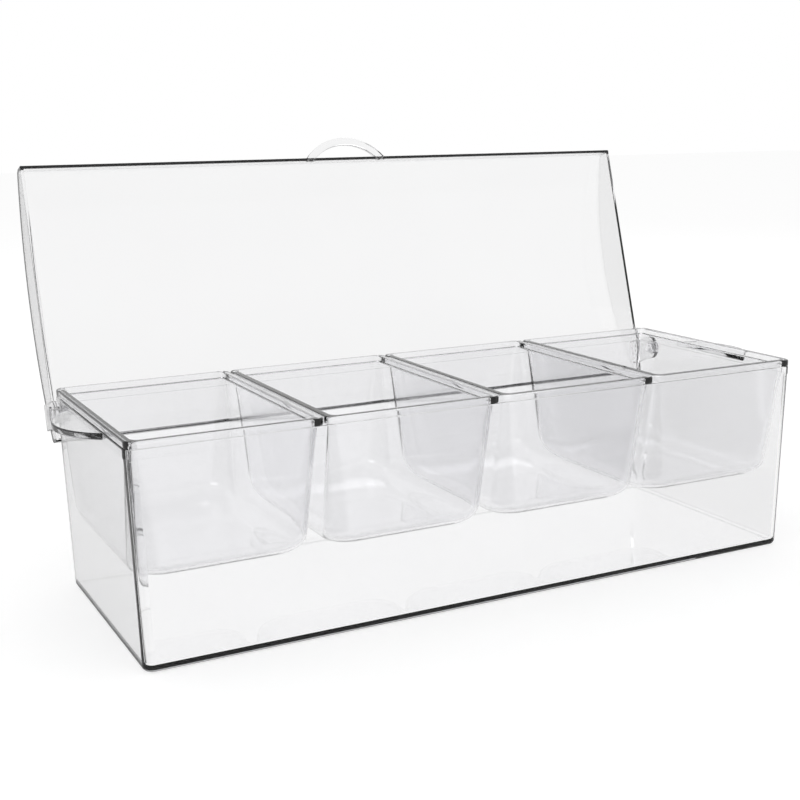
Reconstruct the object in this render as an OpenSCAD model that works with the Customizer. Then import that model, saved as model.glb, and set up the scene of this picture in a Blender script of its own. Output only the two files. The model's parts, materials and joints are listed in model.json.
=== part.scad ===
// Condiment caddy: a clear ice tray, four lift-out cups and one arched lid hinged at the back.
// Millimetres. X runs along the tray, Y from front to back, Z up from the table.
// The origin is on the table, under the middle of the tray.

/* [Tray] */
// Length of the tray over its rim
tray_length = 382; // [320:1:440]
// Depth of the tray over its rim, front to back
tray_depth = 135; // [120:0.5:160]
// Height of the tray's rim above the table
tray_height = 104.6; // [96:0.2:130]
// Thickness of the tray's walls
tray_wall = 2; // [1.6:0.1:3]
// Thickness of the tray's floor
tray_floor = 3; // [2:0.1:5]
// Height of the thicker band under the rim
band_height = 4.5; // [3:0.1:8]
// How far the band stands proud of the wall below it
band_step = 0.3; // [0.2:0.1:1]
// How far each end wall leans in between the band and the base
end_lean = 3.2; // [0:0.1:5]
// How far the front and back walls lean in between the band and the base
side_lean = 0.2; // [0:0.1:1.5]
// Radius of the tray's upright corners
tray_corner = 5.5; // [4.5:0.5:12]
// Radius of the edge round the base
foot_round = 2.5; // [1:0.1:4]

/* [Carrying tabs] */
// Length of each tab where it joins the end wall
tab_chord = 60; // [40:1:80]
// How far each tab stands out from the end wall
tab_reach = 16; // [10:0.5:24]
// Thickness of each tab
tab_thick = 3.2; // [2.5:0.1:4.5]

/* [Cups] */
// Height of a cup from the underside of its base to the top of its flange
cup_height = 70; // [60:0.5:80]
// Thickness of a cup's walls and floor
cup_wall = 1.6; // [1.2:0.1:2.4]
// Thickness of the flange that hangs on the tray's rim
flange_thick = 3.7; // [2.5:0.1:5]
// Radius of the flange's corners, seen from above
flange_corner = 5; // [4:0.5:7]
// Gap between the flanges of two neighbouring cups
cup_gap = 0.6; // [0.4:0.1:1.5]
// Gap between a cup's body and the tray's walls at the rim
cup_clear = 0.5; // [0.4:0.1:2]
// How far each side of a cup leans in from the rim down to its rounded base
cup_lean = 1.8; // [0.5:0.1:6]
// Radius of the rounded base
cup_round = 24; // [10:1:28]
// Radius of the upright corners at the top of a cup's body
cup_corner = 4.5; // [3.5:0.5:6]
// How much wider the upright corners are at the base than at the top
cup_corner_grow = 7; // [0:0.5:12]
// Radius of the flange's upper edge
flange_round = 1; // [0.5:0.1:1.5]

/* [Lid] */
// How far the closed lid reaches past the tray's rim at the front
lid_front = 7.9; // [4:0.1:14]
// How far the closed lid reaches past the tray's rim at the back
lid_back = 5.5; // [5:0.1:12]
// How far the closed lid reaches past the tray's rim at each end
lid_side = 0.5; // [0.4:0.1:2]
// Height of the lid's straight front and back walls
lid_wall_height = 17.5; // [12:0.5:24]
// Height of the lid at the crown of its arch
lid_crown = 38; // [28:1:50]
// Thickness of the lid
lid_thick = 2.4; // [1.8:0.1:3.2]
// Outer radius where the arch meets the front and back walls
lid_round = 6; // [3:0.5:9]
// Gap between the closed lid and the cups' flanges
lid_gap = 0.5; // [0.3:0.1:1.5]
// Angle through which the lid is open, 0 is closed
lid_open = 106.8; // [0:0.1:106.8]

/* [Lid handle] */
// Outer radius of the loop
loop_radius = 33; // [28:0.5:40]
// How far the loop stands out from the lid's front wall
loop_rise = 12; // [9:0.2:16]
// Width of the loop's bar
loop_bar = 4.4; // [3:0.2:6]
// Thickness of the loop's bar
loop_thick = 3.4; // [2.5:0.1:4.5]

/* [Hinge] */
// How far the hinge lies below the tray's rim
hinge_drop = 8.6; // [8:0.1:14]
// How far the hinge lies in from the back of the tray's rim
hinge_inset = 8.3; // [7:0.1:12]
// Radius of a hinge pin
pin_radius = 2.5; // [1.5:0.1:3]
// Gap round a hinge pin in its holes
pin_clear = 0.05; // [0.02:0.01:0.1]
// Radius of the lid's ear round the pin
ear_radius = 7; // [5:0.5:7.5]
// Thickness of an ear
ear_thick = 2.4; // [1.8:0.1:3.2]
// Height of the part of an ear that lies against the lid's end wall
ear_lap = 9; // [5:0.5:14]
// Radius of a pin's head
head_radius = 4.2; // [3.6:0.1:5]
// Thickness of a pin's head
head_thick = 1.6; // [1:0.1:2.5]
// Gap between an ear and the pin's head
head_gap = 0.3; // [0.2:0.1:0.6]

/* [Hidden] */
cup_count = 4;
$fn = 96;
// Steps in a quarter of a rounded corner or edge that is built from rings
corner_steps = 8;
edge_steps = 5;
// Steps from each shoulder of the lid up to its crown
arch_steps = 20;
// A sliver that carries a cut past the face that it opens
cut = 0.5;
clear_plastic = [0.93, 0.95, 0.97, 0.45];
tinted_plastic = [0.86, 0.89, 0.94, 0.6];

rim_top = tray_height + flange_thick;
band_z = tray_height - band_height;
tray_half = [tray_length / 2, tray_depth / 2];
wall_half = tray_half - [band_step, band_step];
base_half = wall_half - [end_lean, side_lean];
wall_corner = tray_corner - band_step;

cup_pitch = tray_length / cup_count;
cup_base_z = rim_top - cup_height;
flange_half = [(cup_pitch - cup_gap) / 2, tray_depth / 2];
body_inset = band_step + tray_wall + cup_clear;
body_half = [cup_pitch / 2 - body_inset, tray_depth / 2 - body_inset];
lean_per_height = cup_lean / (tray_height - cup_base_z - cup_round);

hinge_y = tray_half[1] - hinge_inset;
hinge_z = tray_height - hinge_drop;
lid_depth = tray_depth + lid_front + lid_back;
lid_half = [tray_half[0] + lid_side, lid_depth / 2];
lid_middle_y = (lid_back - lid_front) / 2;
lid_base_z = rim_top + lid_gap;
lid_front_y = lid_middle_y - lid_half[1];
arch_rise = lid_crown - lid_wall_height;
arch_radius = (pow(lid_half[1], 2) + pow(arch_rise, 2)) / (2 * arch_rise);
arch_z = lid_crown - arch_radius;
shoulder_y = lid_half[1] - lid_round;
shoulder_z = arch_z + sqrt(pow(arch_radius - lid_round, 2) - pow(shoulder_y, 2));
shoulder_turn = atan2(shoulder_z - arch_z, shoulder_y);
rim_swing = norm([tray_half[1] - hinge_y, rim_top - hinge_z]);
relief_radius = rim_swing + lid_gap;

// A rounded rectangle of points at height z, anticlockwise as seen from above
function ring(half, radius, z) = [
    for (quarter = [0:3], k = [0:corner_steps]) let (
        turn = 90 * (quarter + k / corner_steps),
        sx = quarter == 0 || quarter == 3 ? 1 : -1,
        sy = quarter < 2 ? 1 : -1
    ) [sx * (half[0] - radius) + radius * cos(turn), sy * (half[1] - radius) + radius * sin(turn), z]
];

// A solid skinned over rings of equally many points, lowest ring first
module loft(rings) {
    count = len(rings[0]);
    sides = [
        for (level = [0:len(rings) - 2], i = [0:count - 1]) let (
            here = level * count + i,
            next = level * count + (i + 1) % count
        ) each [[here, here + count, next + count], [here, next + count, next]]
    ];
    bottom = [for (i = [0:count - 1]) i];
    top = [for (i = [1:count]) len(rings) * count - i];
    polyhedron(points = [for (r = rings) each r], faces = concat([bottom], sides, [top]), convexity = 4);
}

// Rings of a rounded lower edge, from the bottom up
function edge_rings(half, corner, z, radius) = [
    for (k = [0:edge_steps]) let (turn = 90 * k / edge_steps, away = radius * (1 - sin(turn)))
        ring(half - [away, away], corner - away, z + radius * (1 - cos(turn)))
];

// The tray's outside: rounded foot, leaning walls and the band under the rim
module tray_outside() {
    loft(concat(
        edge_rings(base_half, wall_corner, 0, foot_round),
        [
            ring(wall_half, wall_corner, band_z),
            ring(tray_half, tray_corner, band_z),
            ring(tray_half, tray_corner, tray_height)
        ]
    ));
}

// The hollow of the tray, one wall thickness inside its outside
module tray_hollow() {
    wall = [tray_wall, tray_wall];
    corner = wall_corner - tray_wall;
    loft([
        ring(base_half - wall, corner, tray_floor),
        ring(wall_half - wall, corner, band_z),
        ring(wall_half - wall, corner, tray_height + cut)
    ]);
}

// A straight hole or bar along X through the hinge line, from one distance out to another
module on_hinge(side, near, far, radius) {
    translate([side * near, hinge_y, hinge_z]) rotate([0, side * 90, 0]) cylinder(r = radius, h = far - near);
}

module tray() {
    color(tinted_plastic) difference() {
        tray_outside();
        tray_hollow();
        for (side = [-1, 1])
            on_hinge(side, base_half[0] - tray_wall, tray_half[0] + cut, pin_radius + pin_clear);
    }
}

// A half-moon tab on an end wall, level with the tray's rim, cut to the wall that it is bonded to
module tab(side) {
    radius = (pow(tab_chord / 2, 2) + pow(tab_reach, 2)) / (2 * tab_reach);
    color(clear_plastic) difference() {
        translate([side * (tray_half[0] + tab_reach - radius), 0, tray_height - tab_thick])
            cylinder(r = radius, h = tab_thick);
        translate([-side * tray_length, 0, 0])
            cube([2 * tray_length + 2 * tray_half[0], tray_depth, 2 * rim_top], center = true);
    }
}

// The shape of a cup's body, drawn in by inset on every side and cut off at height top
module cup_form(inset, top) {
    spread = lean_per_height * (top - tray_height);
    top_half = body_half - [inset, inset] + [spread, spread];
    round_half = body_half - [cup_lean + cup_round, cup_lean + cup_round];
    base = [
        for (k = [0:edge_steps]) let (
            turn = 90 * k / edge_steps,
            reach = (cup_round - inset) * sin(turn),
            corner = cup_corner - inset + cup_corner_grow * (1 - sin(turn))
        ) ring(round_half + [reach, reach], corner, cup_base_z + cup_round - (cup_round - inset) * cos(turn))
    ];
    loft(concat(base, [ring(top_half, cup_corner - inset, top)]));
}

// The flange of a cup, with a rounded upper edge
module flange() {
    top_rings = [
        for (k = [0:edge_steps]) let (turn = 90 * k / edge_steps, away = flange_round * (1 - cos(turn)))
            ring(flange_half - [away, away], flange_corner - away, rim_top - flange_round * (1 - sin(turn)))
    ];
    loft(concat([ring(flange_half, flange_corner, tray_height)], top_rings));
}

module cup(number) {
    color(clear_plastic) translate([(number - (cup_count + 1) / 2) * cup_pitch, 0, 0]) difference() {
        union() {
            flange();
            cup_form(0, tray_height + cut);
        }
        cup_form(cup_wall, rim_top + cut);
    }
}

// Turns what is drawn for the closed lid about the hinge to where the lid stands open
module opened() {
    translate([0, hinge_y, hinge_z]) rotate([-lid_open, 0, 0]) translate([0, -hinge_y, -hinge_z])
        children();
}

// Stands a YZ outline up, with a length along X on both sides of the middle
module along_x(half) {
    translate([-half, 0, 0]) rotate([90, 0, 90]) linear_extrude(height = 2 * half) children();
}

// Points along an arc, from one angle to another
function arc(centre, radius, from, to, steps) = [
    for (k = [0:steps]) let (turn = from + (to - from) * k / steps) centre + radius * [cos(turn), sin(turn)]
];

// Half of the lid's outline across its arch, from the back wall's foot up to the crown, drawn in by inset
function lid_half_outline(inset, floor_z) = concat(
    [[lid_half[1] - inset, floor_z]],
    arc([shoulder_y, shoulder_z], lid_round - inset, 0, shoulder_turn, corner_steps),
    [for (k = [1:arch_steps]) arc([0, arch_z], arch_radius - inset, shoulder_turn, 90, arch_steps)[k]]
);

// Outline of the lid across its arch, reaching down to floor_z
module lid_section(inset, floor_z) {
    half = lid_half_outline(inset, floor_z);
    other = [for (k = [2:len(half)]) [-half[len(half) - k][0], half[len(half) - k][1]]];
    polygon(concat(half, other));
}

// An ear beside the lid's end wall, with the hole for its pin
module ear(side) {
    inner_x = lid_half[0];
    difference() {
        union() {
            on_hinge(side, inner_x, inner_x + ear_thick, ear_radius);
            translate([side > 0 ? inner_x : -inner_x - ear_thick, hinge_y - ear_radius, hinge_z])
                cube([ear_thick, 2 * ear_radius, lid_base_z - hinge_z + ear_lap]);
        }
        on_hinge(side, inner_x - cut, inner_x + ear_thick + cut, pin_radius + pin_clear);
    }
}

module lid_shell() {
    color(clear_plastic) opened() {
        difference() {
            translate([0, lid_middle_y, lid_base_z]) difference() {
                along_x(lid_half[0]) lid_section(0, 0);
                along_x(lid_half[0] - lid_thick) lid_section(lid_thick, -cut);
            }
            for (side = [-1, 1]) on_hinge(side, 0, lid_half[0], relief_radius);
        }
        for (side = [-1, 1]) ear(side);
    }
}

// The finger loop on the middle of the lid's front wall
module lid_handle() {
    centre_y = lid_front_y + loop_radius - loop_rise;
    color(clear_plastic) opened() translate([0, centre_y, lid_base_z]) difference() {
        cylinder(r = loop_radius, h = loop_thick);
        translate([0, 0, -cut]) cylinder(r = loop_radius - loop_bar, h = loop_thick + 2 * cut);
        translate([-2 * loop_radius, lid_front_y - centre_y, -cut])
            cube([4 * loop_radius, 4 * loop_radius, loop_thick + 2 * cut]);
    }
}

// A pin through the tray's end wall and the ear, with a head outside the ear
module hinge_pin(side) {
    head_x = lid_half[0] + ear_thick + head_gap;
    color(tinted_plastic) {
        on_hinge(side, wall_half[0] - tray_wall, head_x, pin_radius);
        on_hinge(side, head_x, head_x + head_thick, head_radius);
    }
}

tray();
tab(-1);  // left_tab
tab(1);  // right_tab
cup(1);  // cup_1
cup(2);  // cup_2
cup(3);  // cup_3
cup(4);  // cup_4
lid_shell();
lid_handle();
hinge_pin(-1);  // left_hinge_pin
hinge_pin(1);  // right_hinge_pin
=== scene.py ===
"""Condiment caddy: a clear ice tray, four lift-out cups and one arched lid hinged at the back.

Metres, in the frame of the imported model: X runs along the tray, Y from front to back, Z up from the table.
"""

import json
import math

import bmesh
import bpy
from bpy.props import FloatProperty, FloatVectorProperty, IntProperty, PointerProperty
from mathutils import Matrix, Vector


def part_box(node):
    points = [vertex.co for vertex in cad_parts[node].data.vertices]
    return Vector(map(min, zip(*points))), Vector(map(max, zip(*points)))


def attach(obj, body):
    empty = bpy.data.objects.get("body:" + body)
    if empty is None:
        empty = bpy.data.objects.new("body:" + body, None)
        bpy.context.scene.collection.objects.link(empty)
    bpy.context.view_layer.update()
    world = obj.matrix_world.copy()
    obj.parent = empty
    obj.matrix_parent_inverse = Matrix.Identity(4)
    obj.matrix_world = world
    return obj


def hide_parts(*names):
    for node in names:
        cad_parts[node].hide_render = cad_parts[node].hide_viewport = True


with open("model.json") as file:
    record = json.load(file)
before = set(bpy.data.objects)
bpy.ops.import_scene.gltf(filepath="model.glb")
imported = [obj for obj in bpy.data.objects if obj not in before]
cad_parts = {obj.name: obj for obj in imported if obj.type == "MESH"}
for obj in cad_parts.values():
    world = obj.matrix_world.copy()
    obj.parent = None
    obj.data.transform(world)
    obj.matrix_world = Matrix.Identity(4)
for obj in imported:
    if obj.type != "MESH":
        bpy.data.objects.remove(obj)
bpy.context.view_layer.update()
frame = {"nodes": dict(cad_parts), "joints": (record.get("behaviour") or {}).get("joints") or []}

bl_info = {
    "name": "Condiment Caddy",
    "version": (1, 0, 0),
    "blender": (4, 5, 0),
    "location": "3D View > Sidebar > Caddy",
    "description": "A clear ice tray with four lift-out cups and one arched lid",
    "category": "Object",
}

SIDES = {"left": -1, "right": 1}
CUPS = sorted(name for name in frame["nodes"] if name.startswith("cup_"))
QUARTER = math.pi / 2
# A sliver that carries a cut past the face that it opens
CUT = 0.001
# Facets along an upright corner, a cup's rounded base, a rounded edge, a small fillet and a full turn
CORNER_STEPS = 12
BASE_STEPS = 14
EDGE_STEPS = 6
FILLET_STEPS = 4
ROUND_STEPS = 48

# Where things are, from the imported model
tray_low, tray_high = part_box("tray")
flange_low, flange_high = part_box(CUPS[0])
lid_joint = next(joint for joint in frame["joints"] if joint["name"] == "lid_hinge")
HINGE = Vector(lid_joint["pos_m"])
LID_SWING = Matrix.Rotation(math.radians(lid_joint["range_deg"][0]), 4, lid_joint["axis"])
TO_CLOSED = Matrix.Translation(HINGE) @ LID_SWING @ Matrix.Translation(-HINGE)
TO_OPEN = TO_CLOSED.inverted()


def closed_box(node):
    """Lowest and highest corners of a lid node, with the lid turned down onto the cups."""
    corners = [TO_CLOSED @ vertex.co for vertex in frame["nodes"][node].data.vertices]
    low = Vector(min(corner[axis] for corner in corners) for axis in range(3))
    high = Vector(max(corner[axis] for corner in corners) for axis in range(3))
    return low, high


loop_low, loop_high = closed_box("lid_handle")
lid_low, lid_high = closed_box("lid_shell")


def length(name, default, description):
    """A length property, in metres."""
    return FloatProperty(
        name=name, default=default, min=0, unit="LENGTH", subtype="DISTANCE", precision=5, description=description
    )


def colour(name, default, description):
    """A colour property."""
    return FloatVectorProperty(name=name, subtype="COLOR", default=default, description=description)


class TraySizes(bpy.types.PropertyGroup):
    """Sizes of the tray and its carrying tabs."""

    wall: length("Wall", 0.002, "Thickness of the tray's walls")
    floor: length("Floor", 0.003, "Thickness of the tray's floor")
    band_height: length("Band height", 0.0045, "Height of the thicker band under the rim")
    band_step: length("Band step", 0.0003, "How far the band stands proud of the wall below it")
    end_lean: length("End lean", 0.0032, "How far each end wall leans in between the band and the base")
    side_lean: length("Side lean", 0.0002, "How far the front and back walls lean in")
    corner: length("Corner", 0.0055, "Radius of the tray's upright corners")
    foot_round: length("Foot edge", 0.0025, "Radius of the edge round the base")
    inner_round: length("Inner edge", 0.0018, "Radius where the walls meet the floor inside")
    rim_round: length("Rim edge", 0.0005, "Radius of the rim's edges")
    tab_reach: length("Tab reach", 0.016, "How far each tab stands out from the end wall")
    tab_chord: length("Tab chord", 0.06, "Length of each tab where it joins the end wall")
    tab_round: length("Tab edge", 0.0009, "Radius of the tabs' edges")
    bond: length("Bond", 0.0004, "How deep a tab or the handle sits in the wall that carries it")


class CupSizes(bpy.types.PropertyGroup):
    """Sizes of the four cups."""

    depth: length("Depth", 0.0722, "From the top of a cup's flange down to the underside of its base")
    wall: length("Wall", 0.0016, "Thickness of a cup's walls and floor")
    gap: length("Rim gap", 0.00005, "Air under the flange where it rests on the tray's rim")
    flange_corner: length("Flange corner", 0.005, "Radius of the flange's corners, seen from above")
    flange_round: length("Flange edge", 0.001, "Radius of the flange's upper edge")
    body_inset: length("Body inset", 0.0028, "From the cups' pitch or the rim's side in to a cup's body")
    lean: length("Lean", 0.0018, "How far each side leans in from the rim down to the rounded base")
    round: length("Rounded base", 0.0145, "Height of the rounded base, and how far it draws in the sides")
    sweep: length("Base sweep", 0.04, "How far the rounded base draws in the front and the back")
    corner: length("Body corner", 0.0045, "Radius of the upright corners at the top of a cup's body")
    corner_low: length("Low corner", 0.016, "Radius of the upright corners where the rounded base starts")
    foot_corner: length("Foot corner", 0.006, "Radius of the corners of the flat under a cup")
    edge_round: length("Inner edge", 0.0007, "Radius of the edge round the mouth and of the lower flange edge")


class LidSizes(bpy.types.PropertyGroup):
    """Sizes of the lid, its ears and its finger loop."""

    thick: length("Thickness", 0.0018, "Thickness of the lid")
    wall_height: length("Wall height", 0.009, "Height of the lid's straight front and back walls")
    crown: length("Crown", 0.0235, "Height of the lid at the crown of its arch")
    shoulder: length("Shoulder", 0.004, "Outer radius where the arch meets the front and back walls")
    edge_round: length("Edge", 0.0006, "Radius of the lid's edges")
    ear_radius: length("Ear radius", 0.007, "Radius of the lid's ear round the hinge pin")
    ear_lap: length("Ear lap", 0.0085, "Height of the part of an ear that lies against the end wall")
    ear_thick: length("Ear thickness", 0.0024, "Thickness of an ear")
    loop_bar: length("Loop bar", 0.0044, "Width of the loop's bar")
    loop_round: length("Loop edge", 0.001, "Radius of the edges of the loop's bar")
    arch_steps: IntProperty(name="Arch steps", default=40, min=8, description="Facets along half of the arch")


class HingeSizes(bpy.types.PropertyGroup):
    """Sizes of the hinge pins."""

    pin_radius: length("Pin radius", 0.0025, "Radius of a hinge pin")
    hole_clear: length("Hole gap", 0.00005, "Gap round a hinge pin in its holes")
    head_radius: length("Head radius", 0.0042, "Radius of a pin's head")
    head_thick: length("Head thickness", 0.0016, "Thickness of a pin's head")
    head_round: length("Head edge", 0.0005, "Radius of the edges of a pin's head")


class PlasticLooks(bpy.types.PropertyGroup):
    """Colours and finish of the clear plastic."""

    tray: colour("Tray", (0.985, 0.985, 0.988), "Tray colour")
    cup: colour("Cups", (0.978, 0.978, 0.985), "Cup colour")
    lid: colour("Lid", (0.94, 0.94, 0.942), "Lid colour")
    pin: colour("Pins", (0.95, 0.95, 0.96), "Pin colour")
    # Painted shade: a dark colour mixed into the plastic's base colour for camera rays where a surface turns
    # away, drawing dark edge lines
    edge: colour("Edges", (0.3, 0.3, 0.31), "Colour where a surface turns away")
    shade: colour("Shade", (0.99, 0.99, 0.992), "What one face lets through to a shadow")
    depth: colour("Depth", (0.5, 0.5, 0.53), "Colour that a long way through the plastic takes on")
    density: FloatProperty(
        name="Density", default=5, min=0, description="How soon the depth colour shows, per metre"
    )
    refraction: FloatProperty(
        name="Refraction", default=1.49, min=1, description="How strongly the plastic bends light"
    )


class StageLooks(bpy.types.PropertyGroup):
    """Camera, floor and light."""

    camera_place: FloatVectorProperty(
        name="Camera", subtype="XYZ", unit="LENGTH", default=(-0.33138, -0.60061, 0.24373),
        description="Camera place"
    )
    yaw: FloatProperty(
        name="Yaw", subtype="ANGLE", default=math.radians(27.191), description="Turn to the right of +Y"
    )
    pitch: FloatProperty(
        name="Pitch", subtype="ANGLE", default=math.radians(-12.347), description="Tilt upwards"
    )
    roll: FloatProperty(
        name="Roll", subtype="ANGLE", default=math.radians(-0.694), description="Turn round the view"
    )
    lens: FloatProperty(
        name="Lens", default=58.05, min=1, subtype="DISTANCE_CAMERA", description="Focal length in mm"
    )
    floor: colour("Floor", (0.8, 0.8, 0.8), "Floor colour")
    floor_glow: FloatProperty(
        name="Floor glow", default=0.29, min=0, description="What brings the floor up to white for the camera"
    )
    room: colour("Room", (0.85, 0.85, 0.85), "Light from all round")
    mirrored: colour("Mirrored room", (0.85, 0.85, 0.86), "What gloss reflects")
    ceiling: colour("Ceiling", (0.5, 0.5, 0.51), "What the plastic bends into view from above")
    screen: colour("Dark screen", (0.02, 0.02, 0.02), "Dark side that draws the outlines")
    front_power: FloatProperty(
        name="Front lamp", default=5, min=0, unit="POWER", description="Power of the front lamp"
    )
    back_power: FloatProperty(
        name="Back lamp", default=2, min=0, unit="POWER", description="Power of the back lamp"
    )
    bounces: IntProperty(
        name="Bounces", default=32, min=1, description="How often light may turn on its way through the plastic"
    )


def sizes():
    """The scene's property groups, by their short names."""
    scene = bpy.context.scene
    return scene.caddy_tray, scene.caddy_cups, scene.caddy_lid, scene.caddy_hinge


def new_object(name, mesh):
    """An object for a mesh, linked to the scene."""
    piece = bpy.data.objects.new(name, mesh)
    bpy.context.scene.collection.objects.link(piece)
    return piece


def mesh_piece(name, points, faces):
    """A piece from points and faces, with its normals turned outwards."""
    mesh = bpy.data.meshes.new(name)
    mesh.from_pydata(points, [], faces)
    shape = bmesh.new()
    shape.from_mesh(mesh)
    bmesh.ops.remove_doubles(shape, verts=shape.verts, dist=1e-7)
    bmesh.ops.recalc_face_normals(shape, faces=shape.faces)
    shape.to_mesh(mesh)
    shape.free()
    return new_object(name, mesh)


def baked(piece):
    """Turns a piece's live modifiers into its plain mesh."""
    solid = bpy.data.meshes.new_from_object(piece.evaluated_get(bpy.context.evaluated_depsgraph_get()))
    piece.modifiers.clear()
    old = piece.data
    piece.data = solid
    solid.name = piece.name
    bpy.data.meshes.remove(old)
    return piece


def combine(piece, tools, operation):
    """Cuts the tools out of a piece or joins them to it, and removes them."""
    for tool in tools:
        step = piece.modifiers.new("combine", "BOOLEAN")
        step.operation = operation
        step.solver = "EXACT"
        step.object = tool
    baked(piece)
    for tool in tools:
        bpy.data.objects.remove(tool)
    shape = bmesh.new()
    shape.from_mesh(piece.data)
    bmesh.ops.remove_doubles(shape, verts=shape.verts, dist=1e-6)
    bmesh.ops.dissolve_limit(
        shape, angle_limit=math.radians(0.3), verts=shape.verts, edges=shape.edges, use_dissolve_boundaries=False
    )
    shape.to_mesh(piece.data)
    shape.free()
    return piece


def soften(piece, radius, steps=3, sharpest=35):
    """Rounds the edges of a piece that turn by more than an angle in degrees."""
    bevel = piece.modifiers.new("soften", "BEVEL")
    bevel.width = radius
    bevel.segments = steps
    bevel.limit_method = "ANGLE"
    bevel.angle_limit = math.radians(sharpest)
    return baked(piece)


def smooth(piece):
    """Shades a piece smoothly, with its flat faces kept flat."""
    for face in piece.data.polygons:
        face.use_smooth = True
    piece.modifiers.new("smooth", "WEIGHTED_NORMAL")
    return piece


def dress(piece, body, slot, material, *nodes):
    """Gives a piece its material, the body that it moves with and the nodes that it stands for."""
    piece.data.materials.clear()
    piece.data.materials.append(material)
    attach(piece, body)
    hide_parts(*nodes)


def arc(centre, radius, start, end, steps):
    """Points of an arc in a plane, from one angle to another."""
    turns = [start + (end - start) * step / steps for step in range(steps + 1)]
    return [(centre[0] + radius * math.cos(turn), centre[1] + radius * math.sin(turn)) for turn in turns]


def prism(name, outline, low, high, axis):
    """A straight solid with an outline across one axis, from low to high along it."""
    order = {"X": lambda along, a, b: (along, a, b), "Z": lambda along, a, b: (a, b, along)}[axis]
    count = len(outline)
    points = [order(along, a, b) for along in (low, high) for a, b in outline]
    sides = [(i, (i + 1) % count, count + (i + 1) % count, count + i) for i in range(count)]
    return mesh_piece(name, points, [tuple(range(count)), tuple(range(count, 2 * count)), *sides])


def shell_tree():
    """A node tree that skins a closed moulding over rounded rectangles.

    Each point of the mesh that it starts from stands for one ring. Its X and Y are half of the ring's length
    and depth, its Z is the ring's height, and its attribute corner is the radius of the ring's corners.
    """
    tree = bpy.data.node_groups.get("Moulded Shell")
    if tree:
        return tree
    tree = bpy.data.node_groups.new("Moulded Shell", "GeometryNodeTree")
    tree.is_modifier = True
    socket = tree.interface.new_socket
    socket("Rings", in_out="INPUT", socket_type="NodeSocketGeometry")
    socket("Corner Steps", in_out="INPUT", socket_type="NodeSocketInt").default_value = CORNER_STEPS
    socket("Middle", in_out="INPUT", socket_type="NodeSocketVector")
    socket("Material", in_out="INPUT", socket_type="NodeSocketMaterial")
    socket("Moulding", in_out="OUTPUT", socket_type="NodeSocketGeometry")
    add, link = tree.nodes.new, tree.links.new
    given = add("NodeGroupInput").outputs

    def put(target, value):
        if isinstance(value, bpy.types.NodeSocket):
            link(value, target)
        else:
            target.default_value = value

    def maths(operation, *values):
        node = add("ShaderNodeMath")
        node.operation = operation
        for target, value in zip(node.inputs, values):
            put(target, value)
        return node.outputs[0]

    def sampled(data_type, value, index):
        node = add("GeometryNodeSampleIndex")
        node.data_type = data_type
        link(given["Rings"], node.inputs["Geometry"])
        link(value, node.inputs["Value"])
        link(index, node.inputs["Index"])
        return node.outputs[0]

    ring_count = add("GeometryNodeAttributeDomainSize")
    link(given["Rings"], ring_count.inputs[0])
    per_corner = maths("ADD", given["Corner Steps"], 1)
    per_ring = maths("MULTIPLY", per_corner, 4)
    grid = add("GeometryNodeMeshGrid")
    link(maths("ADD", per_ring, 1), grid.inputs["Vertices X"])
    link(ring_count.outputs["Point Count"], grid.inputs["Vertices Y"])

    index = add("GeometryNodeInputIndex").outputs[0]
    rings = ring_count.outputs["Point Count"]
    ring = maths("FLOORED_MODULO", index, rings)
    around = maths("FLOORED_MODULO", maths("FLOOR", maths("DIVIDE", index, rings)), per_ring)
    quarter = maths("FLOOR", maths("DIVIDE", around, per_corner))
    step = maths("DIVIDE", maths("FLOORED_MODULO", around, per_corner), given["Corner Steps"])
    turn = maths("MULTIPLY", maths("ADD", quarter, step), QUARTER)
    middle_turn = maths("MULTIPLY", maths("ADD", quarter, 0.5), QUARTER)

    place = sampled("FLOAT_VECTOR", add("GeometryNodeInputPosition").outputs[0], ring)
    named = add("GeometryNodeInputNamedAttribute")
    named.data_type = "FLOAT"
    named.inputs["Name"].default_value = "corner"
    corner = sampled("FLOAT", named.outputs["Attribute"], ring)
    half = add("ShaderNodeSeparateXYZ")
    link(place, half.inputs[0])

    def across(half_size, wave):
        towards = maths("SIGN", maths(wave, middle_turn))
        straight = maths("MULTIPLY", towards, maths("SUBTRACT", half_size, corner))
        return maths("ADD", straight, maths("MULTIPLY", corner, maths(wave, turn)))

    point = add("ShaderNodeCombineXYZ")
    link(across(half.outputs["X"], "COSINE"), point.inputs["X"])
    link(across(half.outputs["Y"], "SINE"), point.inputs["Y"])
    link(half.outputs["Z"], point.inputs["Z"])
    moved = add("ShaderNodeVectorMath")
    moved.operation = "ADD"
    link(point.outputs[0], moved.inputs[0])
    link(given["Middle"], moved.inputs[1])

    placed = add("GeometryNodeSetPosition")
    link(grid.outputs["Mesh"], placed.inputs["Geometry"])
    link(moved.outputs[0], placed.inputs["Position"])
    merged = add("GeometryNodeMergeByDistance")
    merged.inputs["Distance"].default_value = 1e-6
    link(placed.outputs[0], merged.inputs["Geometry"])
    realized = add("GeometryNodeRealizeInstances")
    link(merged.outputs[0], realized.inputs[0])
    painted = add("GeometryNodeSetMaterial")
    link(realized.outputs[0], painted.inputs["Geometry"])
    link(given["Material"], painted.inputs["Material"])
    result = add("NodeGroupOutput")
    link(painted.outputs[0], result.inputs[0])
    return tree


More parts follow.
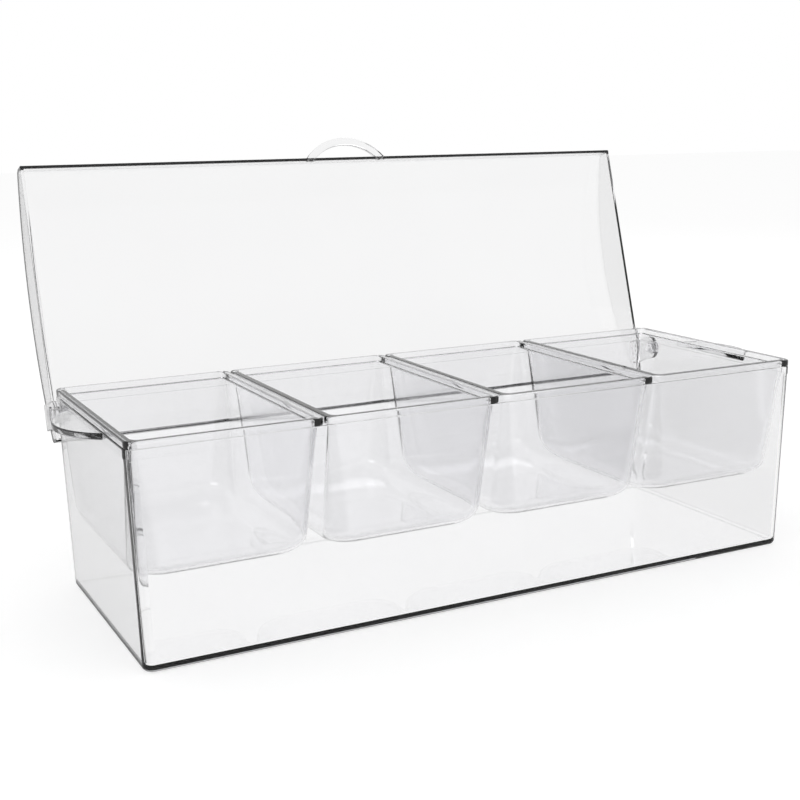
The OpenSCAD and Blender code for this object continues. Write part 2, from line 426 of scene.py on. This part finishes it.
def moulding(name, rings, middle, material):
    """A closed shell skinned over rings of half length, half depth, height and corner radius."""
    mesh = bpy.data.meshes.new(name)
    mesh.from_pydata([ring[:3] for ring in rings], [], [])
    corner = mesh.attributes.new("corner", "FLOAT", "POINT")
    corner.data.foreach_set("value", [ring[3] for ring in rings])
    piece = new_object(name, mesh)
    tree = shell_tree()
    skin = piece.modifiers.new("skin", "NODES")
    skin.node_group = tree
    socket = {item.name: item.identifier for item in tree.interface.items_tree if item.in_out == "INPUT"}
    skin[socket["Corner Steps"]] = CORNER_STEPS
    skin[socket["Middle"]] = middle
    skin[socket["Material"]] = material
    baked(piece)
    shape = bmesh.new()
    shape.from_mesh(piece.data)
    bmesh.ops.dissolve_degenerate(shape, edges=shape.edges, dist=1e-7)
    bmesh.ops.recalc_face_normals(shape, faces=shape.faces)
    shape.to_mesh(piece.data)
    shape.free()
    return piece


def bar_along_x(name, start, end, radius, steps=64):
    """A round bar on the hinge line, from one place along X to another."""
    outline = arc((HINGE.y, HINGE.z), radius, 0, 2 * math.pi, steps)[:-1]
    return prism(name, outline, start, end, "X")


def tray_rings(tray):
    """Rings of the tray, from the middle of its underside round the rim to the middle of its floor."""
    height = tray_high.z
    band_z = height - tray.band_height
    half = Vector((tray_high.x, tray_high.y))
    step = Vector((tray.band_step, tray.band_step))
    lean = Vector((tray.end_lean, tray.side_lean))
    corner = tray.corner - tray.band_step

    def wall_ring(inset, z):
        size = half - step - lean * max(0, 1 - z / band_z) - Vector((inset, inset))
        return size.x, size.y, z, max(corner - inset, 0)

    def band_ring(inset, z):
        return half.x - inset, half.y - inset, z, max(tray.corner - inset, 0)

    foot, inner, edge = tray.foot_round, tray.inner_round, tray.rim_round
    top_wall = tray.band_step + tray.wall
    return [
        (wall_ring(half.y - step.y - lean.y, 0)[0], 0, 0, 0),
        wall_ring(4 * foot, 0),
        *[wall_ring(inset, z) for inset, z in arc((foot, foot), foot, -QUARTER, -2 * QUARTER, EDGE_STEPS)],
        wall_ring(0, band_z - edge),
        wall_ring(0, band_z),
        band_ring(0.3 * tray.band_step, band_z),
        band_ring(0, band_z + 0.7 * tray.band_step),
        *[
            band_ring(inset, z)
            for inset, z in arc((edge, height - edge), edge, 2 * QUARTER, QUARTER, FILLET_STEPS)
        ],
        *[
            band_ring(inset, z)
            for inset, z in arc((top_wall - edge, height - edge), edge, QUARTER, 0, FILLET_STEPS)
        ],
        wall_ring(tray.wall, band_z),
        *[
            wall_ring(inset, z)
            for inset, z in arc(
                (tray.wall + inner, tray.floor + inner), inner, 2 * QUARTER, 3 * QUARTER, EDGE_STEPS
            )
        ],
        wall_ring(tray.wall + 4 * inner, tray.floor),
        (wall_ring(half.y - step.y - lean.y, tray.floor)[0], 0, tray.floor, 0),
    ]


def cup_rings(cup):
    """Rings of a cup, from the middle of its underside round the flange to the middle of its floor."""
    top = flange_high.z
    base_z = top - cup.depth
    rim_z = tray_high.z
    flange = Vector(((flange_high.x - flange_low.x) / 2, (flange_high.y - flange_low.y) / 2))
    pitch = tray_high.x * 2 / len(CUPS)
    body = Vector((pitch / 2, tray_high.y)) - Vector((cup.body_inset, cup.body_inset))
    straight = rim_z - base_z - cup.round

    def body_ring(inset, z):
        down = (rim_z - z) / straight
        size = body - Vector((1, 1)) * (cup.lean * down + inset)
        corner = cup.corner + (cup.corner_low - cup.corner) * max(down, 0)
        return size.x, size.y, z, corner - inset

    def base_ring(inset, turn):
        foot = body - Vector((cup.lean + cup.round, cup.lean + cup.sweep))
        size = foot + Vector((cup.round - inset, cup.sweep - inset)) * math.sin(turn)
        corner = cup.foot_corner + (cup.corner_low - cup.foot_corner) * math.sin(turn)
        return size.x, size.y, base_z + cup.round - (cup.round - inset) * math.cos(turn), corner - inset

    def flange_ring(inset, z):
        return flange.x - inset, flange.y - inset, z, cup.flange_corner - inset

    edge, upper = cup.edge_round, cup.flange_round
    under = rim_z + cup.gap
    turns = [QUARTER * step / BASE_STEPS for step in range(BASE_STEPS + 1)]
    first, last = base_ring(0, 0), base_ring(cup.wall, 0)
    mouth = [
        body_ring(inset, z) for inset, z in arc((cup.wall - edge, top - edge), edge, QUARTER, 0, FILLET_STEPS)
    ]
    return [
        (max(first[0] - first[1], 0), max(first[1] - first[0], 0), first[2], 0),
        *[base_ring(0, turn) for turn in turns],
        *[body_ring(inset, z) for inset, z in arc((-edge, under - edge), edge, 0, QUARTER, FILLET_STEPS)],
        *[
            flange_ring(inset, z)
            for inset, z in arc((edge, under + edge), edge, -QUARTER, -2 * QUARTER, FILLET_STEPS)
        ],
        *[
            flange_ring(inset, z)
            for inset, z in arc((upper, top - upper), upper, 2 * QUARTER, QUARTER, EDGE_STEPS)
        ],
        *mouth,
        *[base_ring(cup.wall, turn) for turn in reversed(turns)],
        (max(last[0] - last[1], 0), max(last[1] - last[0], 0), last[2], 0),
    ]


def lid_outline(lid, inset, floor_z):
    """Outline of the closed lid across its arch, from the back wall's foot over the crown to the front's."""
    front, back = lid_low.y, lid_high.y
    half = (back - front) / 2
    middle = (back + front) / 2
    base_z = loop_low.z
    rise = lid.crown - lid.wall_height
    radius = (half ** 2 + rise ** 2) / (2 * rise)
    arch_z = lid.crown - radius
    shoulder_y = half - lid.shoulder
    shoulder_z = arch_z + math.sqrt((radius - lid.shoulder) ** 2 - shoulder_y ** 2)
    shoulder_turn = math.atan2(shoulder_z - arch_z, shoulder_y)
    side = [
        (half - inset, floor_z - base_z),
        *arc((shoulder_y, shoulder_z), lid.shoulder - inset, 0, shoulder_turn, CORNER_STEPS),
        *arc((0, arch_z), radius - inset, shoulder_turn, QUARTER, lid.arch_steps)[1:],
    ]
    other = [(-y, z) for y, z in reversed(side[:-1])]
    return [(middle + y, base_z + z) for y, z in side + other]


class CADDY_OT_stage(bpy.types.Operator):
    """Set up the camera, the floor, the backdrop and the light"""

    bl_idname = "caddy.stage"
    bl_label = "Stage"

    def execute(self, context):
        looks = context.scene.caddy_stage
        place_camera(context.scene, looks)
        lay_floor(looks)
        light_world(context.scene, looks)
        place_lamps(context.scene, looks)
        context.scene.view_settings.view_transform = "Standard"
        cycles = context.scene.cycles
        cycles.max_bounces = looks.bounces
        cycles.transmission_bounces = looks.bounces
        cycles.transparent_max_bounces = looks.bounces
        return {"FINISHED"}


def place_camera(scene, looks):
    """The camera, at the photograph's place and angle."""
    ahead = Vector((
        math.sin(looks.yaw) * math.cos(looks.pitch),
        math.cos(looks.yaw) * math.cos(looks.pitch),
        math.sin(looks.pitch),
    ))
    right = Vector((math.cos(looks.yaw), -math.sin(looks.yaw), 0))
    turned = Matrix.Rotation(-looks.roll, 3, ahead)
    across, up = turned @ right, turned @ right.cross(ahead)
    camera = bpy.data.objects.new("camera", bpy.data.cameras.new("camera"))
    camera.data.lens = looks.lens
    camera.data.clip_start = 0.01
    facing = Matrix((across, up, -ahead)).transposed().to_4x4()
    camera.matrix_world = Matrix.Translation(looks.camera_place) @ facing
    scene.collection.objects.link(camera)
    scene.camera = camera


def lay_floor(looks):
    """A wide white floor that keeps the caddy's shadow, and lets the plastic show the backdrop through it."""
    reach, below = 6, -0.0002
    corners = [(x * reach, y * reach, below) for x, y in ((-1, -1), (1, -1), (1, 1), (-1, 1))]
    floor = mesh_piece("floor", corners, [(0, 1, 2, 3)])
    material = bpy.data.materials.new("white floor")
    material.use_nodes = True
    nodes, link = material.node_tree.nodes, material.node_tree.links.new
    surface = nodes["Principled BSDF"]
    surface.inputs["Base Color"].default_value = (*looks.floor, 1)
    surface.inputs["Roughness"].default_value = 1
    surface.inputs["Specular IOR Level"].default_value = 0
    surface.inputs["Emission Color"].default_value = (1, 1, 1, 1)
    path = nodes.new("ShaderNodeLightPath")
    glow = nodes.new("ShaderNodeMath")
    glow.operation = "MULTIPLY"
    glow.inputs[1].default_value = looks.floor_glow
    link(path.outputs["Is Camera Ray"], glow.inputs[0])
    link(glow.outputs[0], surface.inputs["Emission Strength"])
    beyond = nodes.new("ShaderNodeBsdfTransparent")
    chosen = nodes.new("ShaderNodeMixShader")
    link(path.outputs["Is Transmission Ray"], chosen.inputs[0])
    link(surface.outputs[0], chosen.inputs[1])
    link(beyond.outputs[0], chosen.inputs[2])
    link(chosen.outputs[0], nodes["Material Output"].inputs["Surface"])
    floor.data.materials.append(material)


def light_world(scene, looks):
    """White backdrop and soft light from all round, with a grey ceiling and a dark side seen only in plastic."""
    world = bpy.data.worlds.new("studio")
    scene.world = world
    world.use_nodes = True
    nodes, link = world.node_tree.nodes, world.node_tree.links.new
    nodes.clear()
    path = nodes.new("ShaderNodeLightPath")
    way = nodes.new("ShaderNodeTexCoord")
    split = nodes.new("ShaderNodeSeparateXYZ")
    link(way.outputs["Generated"], split.inputs[0])
    ceiling_from, ceiling_to = 0.42, 0.75
    screen_from, screen_to = -0.4, -0.62
    ceiling = nodes.new("ShaderNodeValToRGB")
    ceiling.color_ramp.elements[0].position = ceiling_from
    ceiling.color_ramp.elements[0].color = (1, 1, 1, 1)
    ceiling.color_ramp.elements[1].position = ceiling_to
    ceiling.color_ramp.elements[1].color = (*looks.ceiling, 1)
    link(split.outputs["Z"], ceiling.inputs[0])

    def mixed(factor, first, second):
        node = nodes.new("ShaderNodeMix")
        node.data_type = "RGBA"
        link(factor, node.inputs["Factor"])
        for socket, value in ((node.inputs["A"], first), (node.inputs["B"], second)):
            if isinstance(value, tuple):
                socket.default_value = value
            else:
                link(value, socket)
        return node.outputs["Result"]

    side = nodes.new("ShaderNodeMapRange")
    side.inputs["From Min"].default_value = screen_from
    side.inputs["From Max"].default_value = screen_to
    link(split.outputs["X"], side.inputs["Value"])
    behind = mixed(side.outputs[0], ceiling.outputs["Color"], (*looks.screen, 1))
    plain = mixed(path.outputs["Is Glossy Ray"], (*looks.room, 1), (*looks.mirrored, 1))
    bent = mixed(path.outputs["Is Transmission Ray"], plain, behind)
    seen = mixed(path.outputs["Is Camera Ray"], bent, (1, 1, 1, 1))
    background = nodes.new("ShaderNodeBackground")
    link(seen, background.inputs["Color"])
    result = nodes.new("ShaderNodeOutputWorld")
    link(background.outputs[0], result.inputs["Surface"])


def place_lamps(scene, looks):
    """A soft lamp above the front left and a weaker one behind the lid."""
    aim = Vector((0, 0, 0.1))
    for name, place, size, power in (
        ("front lamp", Vector((-0.9, -0.9, 1.5)), 0.9, looks.front_power),
        ("back lamp", Vector((0.8, 1.1, 1.3)), 0.8, looks.back_power),
    ):
        data = bpy.data.lights.new(name, "AREA")
        data.shape = "DISK"
        data.size = size
        data.energy = power
        lamp = bpy.data.objects.new(name, data)
        lamp.location = place
        lamp.rotation_euler = (aim - place).to_track_quat("-Z", "Y").to_euler()
        scene.collection.objects.link(lamp)


def moulded_surface():
    """A group with the slight unevenness of moulded plastic: its colour, roughness and waves."""
    group = bpy.data.node_groups.get("Moulded Surface")
    if group:
        return group
    group = bpy.data.node_groups.new("Moulded Surface", "ShaderNodeTree")
    socket = group.interface.new_socket
    for name, kind, default in (
        ("Vector", "NodeSocketVector", None),
        ("Colour", "NodeSocketColor", (1, 1, 1, 1)),
        ("Clouding", "NodeSocketFloat", 0.02),
        ("Roughness", "NodeSocketFloat", 0.03),
        ("Waves per metre", "NodeSocketFloat", 25),
    ):
        entry = socket(name, in_out="INPUT", socket_type=kind)
        if default is not None:
            entry.default_value = default
    socket("Colour", in_out="OUTPUT", socket_type="NodeSocketColor")
    socket("Roughness", in_out="OUTPUT", socket_type="NodeSocketFloat")
    socket("Height", in_out="OUTPUT", socket_type="NodeSocketFloat")
    add, link = group.nodes.new, group.links.new
    given, result = add("NodeGroupInput"), add("NodeGroupOutput")

    clouds = add("ShaderNodeTexNoise")
    clouds.inputs["Scale"].default_value = 14
    clouds.inputs["Detail"].default_value = 3
    link(given.outputs["Vector"], clouds.inputs["Vector"])
    amount = add("ShaderNodeMath")
    amount.operation = "MULTIPLY"
    link(clouds.outputs[0], amount.inputs[0])
    link(given.outputs["Clouding"], amount.inputs[1])
    shade = add("ShaderNodeMath")
    shade.operation = "SUBTRACT"
    shade.inputs[0].default_value = 1
    link(amount.outputs[0], shade.inputs[1])
    tinted = add("ShaderNodeVectorMath")
    tinted.operation = "SCALE"
    link(given.outputs["Colour"], tinted.inputs[0])
    link(shade.outputs[0], tinted.inputs["Scale"])
    link(tinted.outputs[0], result.inputs["Colour"])

    fine = add("ShaderNodeTexNoise")
    fine.inputs["Scale"].default_value = 60
    fine.inputs["Detail"].default_value = 4
    link(given.outputs["Vector"], fine.inputs["Vector"])
    dull = add("ShaderNodeMapRange")
    dull.inputs["To Min"].default_value = 0
    link(fine.outputs[0], dull.inputs["Value"])
    link(given.outputs["Roughness"], dull.inputs["To Max"])
    link(dull.outputs[0], result.inputs["Roughness"])

    waves = add("ShaderNodeTexNoise")
    waves.inputs["Detail"].default_value = 1
    link(given.outputs["Vector"], waves.inputs["Vector"])
    link(given.outputs["Waves per metre"], waves.inputs["Scale"])
    link(waves.outputs[0], result.inputs["Height"])
    return group


def clear_plastic(name, colour, clouding, roughness):
    """Clear moulded plastic that lets the lamps through, with painted shade where a surface turns away from the
    camera.
    """
    material = bpy.data.materials.get(name)
    if material:
        return material
    looks = bpy.context.scene.caddy_plastic
    material = bpy.data.materials.new(name)
    material.use_nodes = True
    nodes, link = material.node_tree.nodes, material.node_tree.links.new
    surface = nodes["Principled BSDF"]
    surface.inputs["Transmission Weight"].default_value = 1
    surface.inputs["IOR"].default_value = looks.refraction
    where = nodes.new("ShaderNodeTexCoord")
    skin = nodes.new("ShaderNodeGroup")
    skin.node_tree = moulded_surface()
    skin.inputs["Colour"].default_value = (*colour, 1)
    skin.inputs["Clouding"].default_value = clouding
    skin.inputs["Roughness"].default_value = roughness
    link(where.outputs["Object"], skin.inputs["Vector"])

    # Painted shade: where a surface turns away from the camera, camera rays see the base colour darkened towards
    # the edge colour
    turned = nodes.new("ShaderNodeLayerWeight")
    turned.inputs["Blend"].default_value = 0.5
    grazing = nodes.new("ShaderNodeMath")
    grazing.operation = "POWER"
    grazing.inputs[1].default_value = 5
    link(turned.outputs["Facing"], grazing.inputs[0])
    path = nodes.new("ShaderNodeLightPath")
    painted_edge_shade = nodes.new("ShaderNodeMath")
    painted_edge_shade.operation = "MULTIPLY"
    link(grazing.outputs[0], painted_edge_shade.inputs[0])
    link(path.outputs["Is Camera Ray"], painted_edge_shade.inputs[1])
    edge = nodes.new("ShaderNodeMix")
    edge.data_type = "RGBA"
    link(painted_edge_shade.outputs[0], edge.inputs["Factor"])
    link(skin.outputs["Colour"], edge.inputs["A"])
    edge.inputs["B"].default_value = (*looks.edge, 1)
    link(edge.outputs["Result"], surface.inputs["Base Color"])
    link(skin.outputs["Roughness"], surface.inputs["Roughness"])
    bump = nodes.new("ShaderNodeBump")
    bump.inputs["Strength"].default_value = 0.1
    bump.inputs["Distance"].default_value = 0.0004
    link(skin.outputs["Height"], bump.inputs["Height"])
    link(bump.outputs[0], surface.inputs["Normal"])

    clear = nodes.new("ShaderNodeBsdfTransparent")
    clear.inputs["Color"].default_value = (*looks.shade, 1)
    chosen = nodes.new("ShaderNodeMixShader")
    link(path.outputs["Is Shadow Ray"], chosen.inputs[0])
    link(surface.outputs[0], chosen.inputs[1])
    link(clear.outputs[0], chosen.inputs[2])
    link(chosen.outputs[0], nodes["Material Output"].inputs["Surface"])
    depth = nodes.new("ShaderNodeVolumeAbsorption")
    depth.inputs["Color"].default_value = (*looks.depth, 1)
    depth.inputs["Density"].default_value = looks.density
    link(depth.outputs[0], nodes["Material Output"].inputs["Volume"])
    return material


def tray_plastic():
    """The tray's plastic."""
    return clear_plastic("clear tray plastic", bpy.context.scene.caddy_plastic.tray, 0.03, 0.03)


def cup_plastic():
    """The cups' plastic, a little cloudier and cooler than the tray's."""
    return clear_plastic("clear cup plastic", bpy.context.scene.caddy_plastic.cup, 0.05, 0.05)


def lid_plastic():
    """The lid's plastic."""
    return clear_plastic("clear lid plastic", bpy.context.scene.caddy_plastic.lid, 0.03, 0.03)


def pin_plastic():
    """The hinge pins' plastic."""
    return clear_plastic("clear pin plastic", bpy.context.scene.caddy_plastic.pin, 0.03, 0.05)


class CADDY_OT_tray(bpy.types.Operator):
    """Make the ice tray, with its rounded foot, its band under the rim and the holes for the pins"""

    bl_idname = "caddy.tray"
    bl_label = "Tray"

    def execute(self, context):
        tray, _, _, hinge = sizes()
        material = tray_plastic()
        piece = moulding("ice_tray", tray_rings(tray), (0, 0, 0), material)
        radius = hinge.pin_radius + hinge.hole_clear
        reach = tray_high.x + CUT
        inner = tray_high.x - tray.end_lean - 2 * tray.wall
        drills = [
            bar_along_x("drill", side * inner, side * reach, radius) for side in SIDES.values()
        ]
        combine(piece, drills, "DIFFERENCE")
        smooth(piece)
        dress(piece, "base", "tray_plastic", material, "tray")
        return {"FINISHED"}


class CADDY_OT_tabs(bpy.types.Operator):
    """Make the two half-moon carrying tabs on the tray's ends"""

    bl_idname = "caddy.tabs"
    bl_label = "Carrying tabs"

    def execute(self, context):
        tray, _, _, _ = sizes()
        radius = ((tray.tab_chord / 2) ** 2 + tray.tab_reach ** 2) / (2 * tray.tab_reach)
        for name, side in SIDES.items():
            low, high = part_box(name + "_tab")
            root = tray_high.x - tray.bond
            centre = tray_high.x + tray.tab_reach - radius
            half_turn = math.acos((root - centre) / radius)
            edge = arc((centre, 0), radius, -half_turn, half_turn, ROUND_STEPS)
            outline = [(side * x, y) for x, y in edge]
            piece = prism(name + "_carrying_tab", outline, low.z, high.z, "Z")
            soften(piece, tray.tab_round)
            smooth(piece)
            dress(piece, "base", "tray_plastic", tray_plastic(), name + "_tab")
        return {"FINISHED"}


class CADDY_OT_cups(bpy.types.Operator):
    """Make the four lift-out cups"""

    bl_idname = "caddy.cups"
    bl_label = "Cups"

    def execute(self, context):
        _, cup, _, _ = sizes()
        material = cup_plastic()
        rings = cup_rings(cup)
        for name in CUPS:
            low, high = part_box(name)
            piece = moulding("condiment_" + name, rings, ((low.x + high.x) / 2, 0, 0), material)
            smooth(piece)
            dress(piece, name, "cup_plastic", material, name)
        return {"FINISHED"}


class CADDY_OT_lid(bpy.types.Operator):
    """Make the arched lid, with the ears that hold its hinge pins"""

    bl_idname = "caddy.lid"
    bl_label = "Lid"

    def execute(self, context):
        _, _, lid, hinge = sizes()
        base_z = loop_low.z
        half = lid_high.x - lid.ear_thick
        piece = prism("arched_lid", lid_outline(lid, 0, base_z), -half, half, "X")
        inside = lid_outline(lid, lid.thick, base_z - CUT)
        rim_swing = math.hypot(tray_high.y - HINGE.y, flange_high.z - HINGE.z)
        relief = rim_swing + base_z - flange_high.z
        tools = [prism("inside", inside, lid.thick - half, half - lid.thick, "X")]
        for side in SIDES.values():
            start, end = side * (half - 2 * lid.thick), side * (half + CUT)
            tools.append(bar_along_x("relief", start, end, relief, 96))
        combine(piece, tools, "DIFFERENCE")
        ears = []
        for side in SIDES.values():
            near, far = side * (half - lid.thick / 4), side * lid_high.x
            face = side * half
            round_part = bar_along_x("ear", face, far, lid.ear_radius)
            left, right = HINGE.y - lid.ear_radius, HINGE.y + lid.ear_radius
            top = base_z + lid.ear_lap
            low_z = HINGE.z + relief
            for name, foot, start in (("upright", HINGE.z, face), ("root", low_z, near)):
                outline = [(left, foot), (right, foot), (right, top), (left, top)]
                combine(round_part, [prism(name, outline, start, far, "X")], "UNION")
            ears.append(round_part)
        combine(piece, ears, "UNION")
        hole = hinge.pin_radius + hinge.hole_clear
        holes = [
            bar_along_x("hole", side * (half - CUT), side * (lid_high.x + CUT), hole) for side in SIDES.values()
        ]
        combine(piece, holes, "DIFFERENCE")
        soften(piece, lid.edge_round)
        piece.data.transform(TO_OPEN)
        smooth(piece)
        dress(piece, "lid", "lid_plastic", lid_plastic(), "lid_shell")
        return {"FINISHED"}


class CADDY_OT_loop(bpy.types.Operator):
    """Make the finger loop on the middle of the lid's front wall"""

    bl_idname = "caddy.loop"
    bl_label = "Finger loop"

    def execute(self, context):
        tray, _, lid, _ = sizes()
        wall_y = lid_low.y
        rise = wall_y - loop_low.y
        half_chord = loop_high.x
        radius = (half_chord ** 2 + rise ** 2) / (2 * rise)
        centre_y = loop_low.y + radius
        middle = radius - lid.loop_bar / 2
        # The bar's ends run on past the wall, in radians, and are then cut off inside it
        overrun = 0.15
        half_turn = math.acos((radius - rise) / radius) + overrun
        half_width, half_height = lid.loop_bar / 2, (loop_high.z - loop_low.z) / 2
        edge = lid.loop_round
        section = []
        for quarter, (x, y) in enumerate(((1, 1), (-1, 1), (-1, -1), (1, -1))):
            centre = (x * (half_width - edge), y * (half_height - edge))
            section += arc(centre, edge, quarter * QUARTER, (quarter + 1) * QUARTER, FILLET_STEPS)
        steps = 64
        points = []
        for step in range(steps + 1):
            turn = -QUARTER - half_turn + 2 * half_turn * step / steps
            for out, up in section:
                reach = middle + out
                points.append((
                    reach * math.cos(turn), centre_y + reach * math.sin(turn), loop_low.z + half_height + up
                ))
        count = len(section)
        faces = []
        for row in range(steps):
            for i in range(count):
                here, beside = row * count + i, row * count + (i + 1) % count
                faces.append((here, beside, beside + count, here + count))
        faces += [tuple(range(count)), tuple(range(steps * count, (steps + 1) * count))]
        piece = mesh_piece("finger_loop", points, faces)
        shape = bmesh.new()
        shape.from_mesh(piece.data)
        cut = bmesh.ops.bisect_plane(
            shape, geom=shape.verts[:] + shape.edges[:] + shape.faces[:],
            plane_co=(0, wall_y + tray.bond, 0), plane_no=(0, 1, 0), clear_outer=True
        )
        rims = [item for item in cut["geom_cut"] if isinstance(item, bmesh.types.BMEdge)]
        bmesh.ops.contextual_create(shape, geom=rims)
        bmesh.ops.holes_fill(shape, edges=[edge for edge in shape.edges if edge.is_boundary])
        bmesh.ops.recalc_face_normals(shape, faces=shape.faces)
        shape.to_mesh(piece.data)
        shape.free()
        piece.data.transform(TO_OPEN)
        smooth(piece)
        dress(piece, "lid", "lid_plastic", lid_plastic(), "lid_handle")
        return {"FINISHED"}


class CADDY_OT_pins(bpy.types.Operator):
    """Make the two hinge pins with their heads"""

    bl_idname = "caddy.pins"
    bl_label = "Hinge pins"

    def execute(self, context):
        _, _, _, hinge = sizes()
        for name, side in SIDES.items():
            low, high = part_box(name + "_hinge_pin")
            inner, outer = (low.x, high.x) if side > 0 else (-high.x, -low.x)
            edge = hinge.head_round
            head_x = outer - hinge.head_thick
            profile = [
                (inner, 0),
                (inner, hinge.pin_radius - edge),
                (inner + edge, hinge.pin_radius),
                (head_x, hinge.pin_radius),
                *arc((head_x + edge, hinge.head_radius - edge), edge, 2 * QUARTER, QUARTER, FILLET_STEPS),
                *arc((outer - edge, hinge.head_radius - edge), edge, QUARTER, 0, FILLET_STEPS),
                (outer, 0),
            ]
            points, faces = [], []
            for x, radius in profile:
                for step in range(ROUND_STEPS):
                    turn = 2 * math.pi * step / ROUND_STEPS
                    y, z = HINGE.y + radius * math.cos(turn), HINGE.z + radius * math.sin(turn)
                    points.append((side * x, y, z))
            for row in range(len(profile) - 1):
                for i in range(ROUND_STEPS):
                    here, beside = row * ROUND_STEPS + i, row * ROUND_STEPS + (i + 1) % ROUND_STEPS
                    faces.append((here, beside, beside + ROUND_STEPS, here + ROUND_STEPS))
            piece = mesh_piece(name + "_pin", points, faces)
            smooth(piece)
            dress(piece, "base", "pin_plastic", pin_plastic(), name + "_hinge_pin")
        return {"FINISHED"}


class CADDY_PT_panel(bpy.types.Panel):
    """Buttons that make the caddy's pieces, with their sizes and colours"""

    bl_idname = "CADDY_PT_panel"
    bl_label = "Condiment Caddy"
    bl_space_type = "VIEW_3D"
    bl_region_type = "UI"
    bl_category = "Caddy"

    def draw(self, context):
        layout = self.layout
        for operator, _ in STEPS:
            layout.operator(operator.bl_idname)
        for name in GROUPS:
            group = getattr(context.scene, name)
            box = layout.box()
            for key in group.bl_rna.properties.keys():
                if key not in ("rna_type", "name"):
                    box.prop(group, key)


GROUPS = {
    "caddy_tray": TraySizes,
    "caddy_cups": CupSizes,
    "caddy_lid": LidSizes,
    "caddy_hinge": HingeSizes,
    "caddy_plastic": PlasticLooks,
    "caddy_stage": StageLooks,
}
STEPS = (
    (CADDY_OT_stage, "stage"),
    (CADDY_OT_tray, "tray"),
    (CADDY_OT_tabs, "tabs"),
    (CADDY_OT_cups, "cups"),
    (CADDY_OT_lid, "lid"),
    (CADDY_OT_loop, "loop"),
    (CADDY_OT_pins, "pins"),
)


def register():
    """Adds the property groups, the operators and the panel."""
    for name, group in GROUPS.items():
        bpy.utils.register_class(group)
        setattr(bpy.types.Scene, name, PointerProperty(type=group))
    for operator, _ in STEPS:
        bpy.utils.register_class(operator)
    bpy.utils.register_class(CADDY_PT_panel)


def unregister():
    """Takes out what register added."""
    bpy.utils.unregister_class(CADDY_PT_panel)
    for operator, _ in reversed(STEPS):
        bpy.utils.unregister_class(operator)
    for name, group in reversed(GROUPS.items()):
        delattr(bpy.types.Scene, name)
        bpy.utils.unregister_class(group)


def main():
    """Makes every piece in turn."""
    register()
    for _, name in STEPS:
        getattr(bpy.ops.caddy, name)()


if __name__ == "__main__":
    main()
